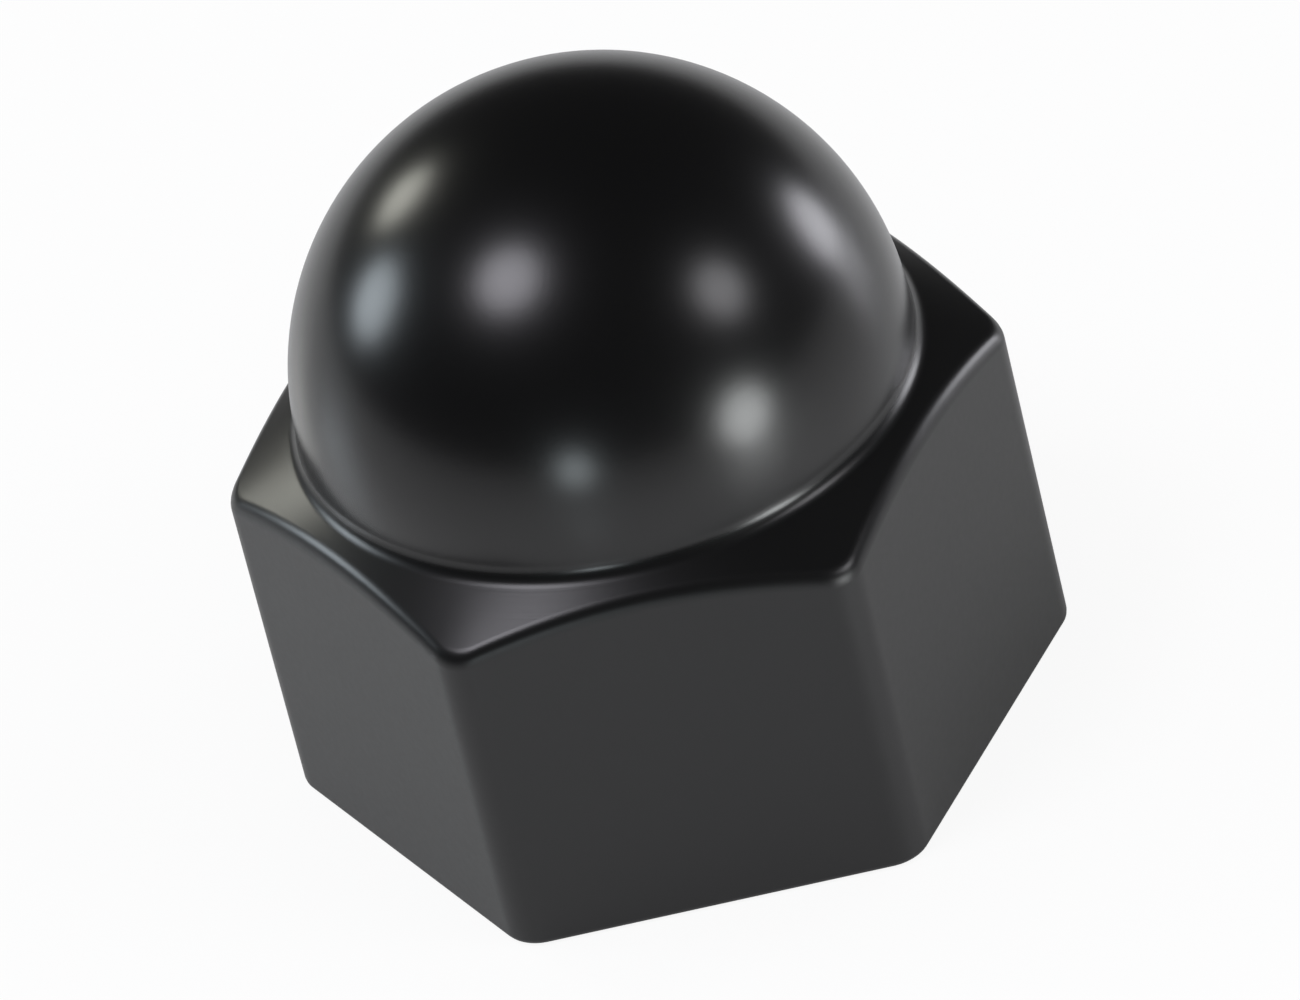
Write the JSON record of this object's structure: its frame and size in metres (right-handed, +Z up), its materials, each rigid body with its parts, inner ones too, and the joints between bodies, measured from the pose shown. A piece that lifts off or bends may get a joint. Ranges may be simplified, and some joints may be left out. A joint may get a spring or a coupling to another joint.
{
  "type": "dome nut cap",
  "caption": "Domed hexagonal push-on cap for a wheel nut, hollow, with a hex socket, grip ribs and a rounded crown.",
  "frame": {"origin": "middle of the rim, on the surface that the cap stands on", "axes": "+Z up the cap's axis from the open rim to the top of the dome; one flat of the hexagon faces -Y"},
  "size_m": [0.025, 0.022, 0.0234],
  "materials": {
    "shell": "black moulded plastic, polished dome, satin flats and a fine-turned cone"
  },
  "bodies": {
    "root": {"nut_cap": "shell"}
  },
  "joints": []
}
